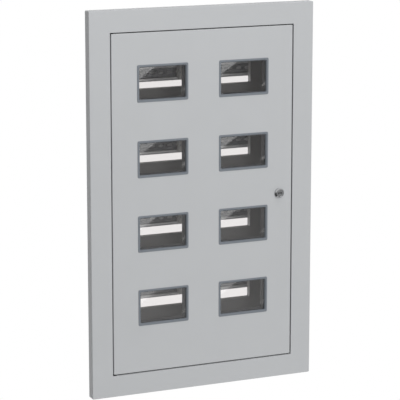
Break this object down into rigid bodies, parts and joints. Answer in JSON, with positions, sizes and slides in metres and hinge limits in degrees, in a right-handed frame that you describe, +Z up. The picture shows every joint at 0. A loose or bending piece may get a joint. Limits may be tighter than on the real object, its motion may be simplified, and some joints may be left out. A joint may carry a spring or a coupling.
{
  "type": "floor distribution board",
  "caption": "Recessed sheet steel meter board with a flush glazed door, moulded windows, cam lock, slotted cover plates and top hat rails.",
  "frame": {"origin": "centre of the four wall fixing holes, on the rear face of the back wall", "axes": "+X to the right seen from the front, +Y into the wall, +Z up; the door faces -Y"},
  "size_m": [0.622, 0.1737, 0.997],
  "materials": {
    "grey_powder_coat": "satin powder coat",
    "zinc_plated_steel": "zinc plated",
    "blackened_steel": "black oxide",
    "blue_grey_plastic": "moulded, matt",
    "clear_plastic": "clear sheet",
    "chromed_zinc": "chromed",
    "black_plastic": "moulded",
    "light_grey_plastic": "moulded",
    "black_rubber": "matt",
    "brass": "drawn bar",
    "blue_plastic": "moulded",
    "green_plastic": "moulded"
  },
  "bodies": {
    "enclosure": {"front_frame": "grey_powder_coat", "side_wall_left": "grey_powder_coat", "side_wall_right": "grey_powder_coat", "top_wall": "grey_powder_coat", "bottom_wall": "grey_powder_coat", "back_wall": "grey_powder_coat", "cover_plate_1": "grey_powder_coat", "cover_plate_2": "grey_powder_coat", "cover_plate_3": "grey_powder_coat", "cover_plate_4": "grey_powder_coat", "cover_post_left": "zinc_plated_steel", "cover_post_right": "zinc_plated_steel", "rail_screws": "zinc_plated_steel", "earth_stud": "zinc_plated_steel", "earth_nut": "zinc_plated_steel", "din_rail_1": "zinc_plated_steel", "din_rail_2": "zinc_plated_steel", "din_rail_3": "zinc_plated_steel", "din_rail_4": "zinc_plated_steel", "cover_screws": "black_plastic", "rail_stops": "light_grey_plastic", "door_buffers": "black_rubber", "top_grommets": "black_rubber", "bottom_grommets": "black_rubber", "neutral_bar": "brass", "earth_bar": "brass", "neutral_bar_screws": "brass", "earth_bar_screws": "brass", "neutral_bar_supports": "blue_plastic", "earth_bar_supports": "green_plastic"},
    "door": {"door_panel": "grey_powder_coat", "hinge_pin_top": "blackened_steel", "hinge_pin_bottom": "blackened_steel", "hinge_block_top": "zinc_plated_steel", "hinge_block_bottom": "zinc_plated_steel", "door_earth_stud": "zinc_plated_steel", "lock_housing": "chromed_zinc", "lock_nut": "zinc_plated_steel", "window_bezel_row1_column1": "blue_grey_plastic", "window_bezel_row1_column2": "blue_grey_plastic", "window_bezel_row2_column1": "blue_grey_plastic", "window_bezel_row2_column2": "blue_grey_plastic", "window_bezel_row3_column1": "blue_grey_plastic", "window_bezel_row3_column2": "blue_grey_plastic", "window_bezel_row4_column1": "blue_grey_plastic", "window_bezel_row4_column2": "blue_grey_plastic", "window_pane_row1_column1": "clear_plastic", "window_pane_row1_column2": "clear_plastic", "window_pane_row2_column1": "clear_plastic", "window_pane_row2_column2": "clear_plastic", "window_pane_row3_column1": "clear_plastic", "window_pane_row3_column2": "clear_plastic", "window_pane_row4_column1": "clear_plastic", "window_pane_row4_column2": "clear_plastic"},
    "lock": {"lock_plug": "chromed_zinc", "lock_cam": "zinc_plated_steel", "cam_screw": "zinc_plated_steel"}
  },
  "joints": [
    {"name": "door_hinge", "type": "hinge", "parent": "enclosure", "child": "door", "pos_m": [-0.2475, -0.1622, 0], "axis": [0, 0, -1], "range_deg": [0, 110]},
    {"name": "lock_turn", "type": "hinge", "parent": "door", "child": "lock", "pos_m": [0.2161, -0.1667, 0], "axis": [0, -1, 0], "range_deg": [0, 90]}
  ]
}
